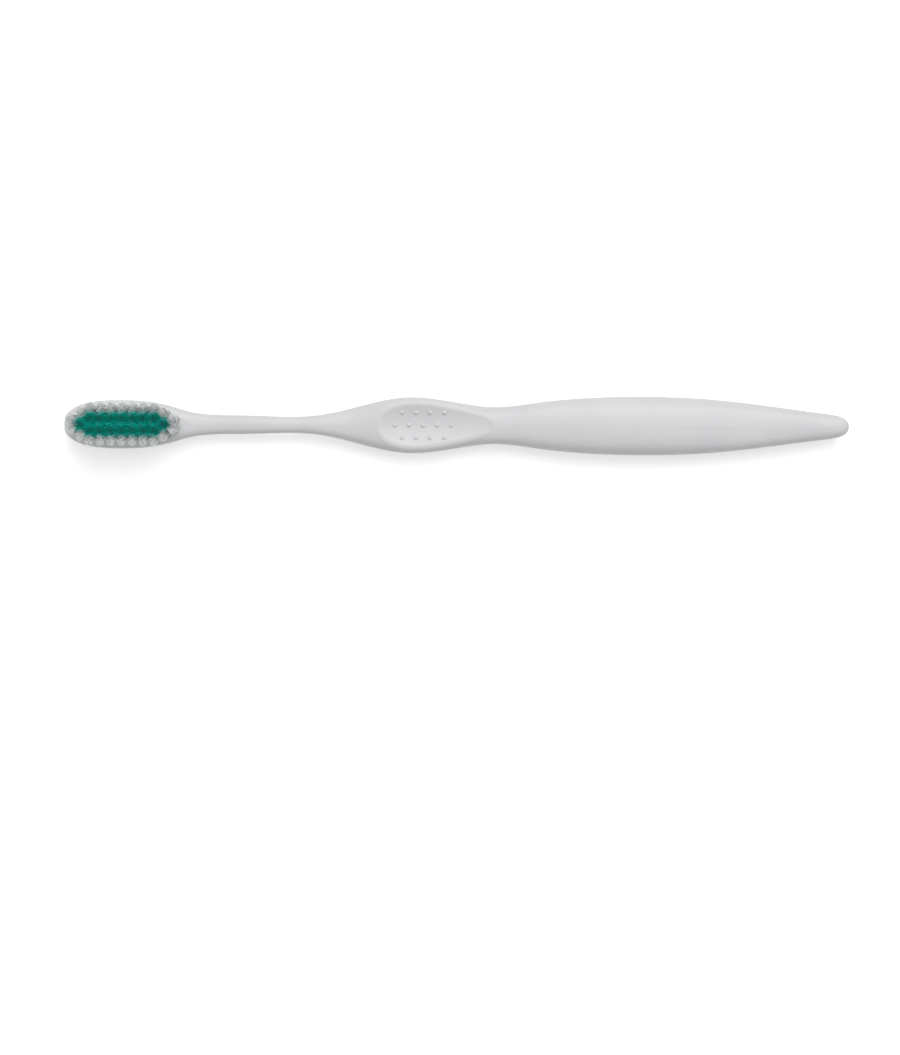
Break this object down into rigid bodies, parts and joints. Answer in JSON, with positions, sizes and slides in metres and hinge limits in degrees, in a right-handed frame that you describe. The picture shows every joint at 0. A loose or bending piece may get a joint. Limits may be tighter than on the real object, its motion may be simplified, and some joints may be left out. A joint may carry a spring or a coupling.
{
  "type": "manual toothbrush",
  "caption": "Manual toothbrush with a sculpted one-piece handle, a dished and dotted thumb rest, and a flat-trimmed head of green tufts inside a ring of clear ones.",
  "frame": {"origin": "on the surface that the brush lies on, under the middle of its length and width", "axes": "+X from the head to the tail, +Y across the brush, +Z the way the bristles point"},
  "size_m": [0.19, 0.0142, 0.0179],
  "materials": {
    "handle_plastic": "satin",
    "clear_nylon": "satin",
    "green_nylon": "satin",
    "anchor_brass": "bright"
  },
  "bodies": {
    "root": {"anchors": "anchor_brass", "clear_heel_corner_left_tuft": "clear_nylon", "clear_heel_corner_right_tuft": "clear_nylon", "clear_heel_left_tuft": "clear_nylon", "clear_heel_right_tuft": "clear_nylon", "clear_left_tuft_1": "clear_nylon", "clear_left_tuft_2": "clear_nylon", "clear_left_tuft_3": "clear_nylon", "clear_left_tuft_4": "clear_nylon", "clear_left_tuft_5": "clear_nylon", "clear_left_tuft_6": "clear_nylon", "clear_left_tuft_7": "clear_nylon", "clear_right_tuft_1": "clear_nylon", "clear_right_tuft_2": "clear_nylon", "clear_right_tuft_3": "clear_nylon", "clear_right_tuft_4": "clear_nylon", "clear_right_tuft_5": "clear_nylon", "clear_right_tuft_6": "clear_nylon", "clear_right_tuft_7": "clear_nylon", "clear_toe_corner_left_tuft": "clear_nylon", "clear_toe_corner_right_tuft": "clear_nylon", "clear_toe_left_tuft": "clear_nylon", "clear_toe_right_tuft": "clear_nylon", "green_heel_tuft": "green_nylon", "green_left_tuft_1": "green_nylon", "green_left_tuft_2": "green_nylon", "green_left_tuft_3": "green_nylon", "green_left_tuft_4": "green_nylon", "green_left_tuft_5": "green_nylon", "green_left_tuft_6": "green_nylon", "green_left_tuft_7": "green_nylon", "green_right_tuft_1": "green_nylon", "green_right_tuft_2": "green_nylon", "green_right_tuft_3": "green_nylon", "green_right_tuft_4": "green_nylon", "green_right_tuft_5": "green_nylon", "green_right_tuft_6": "green_nylon", "green_right_tuft_7": "green_nylon", "green_toe_tuft": "green_nylon", "handle": "handle_plastic"}
  },
  "joints": []
}
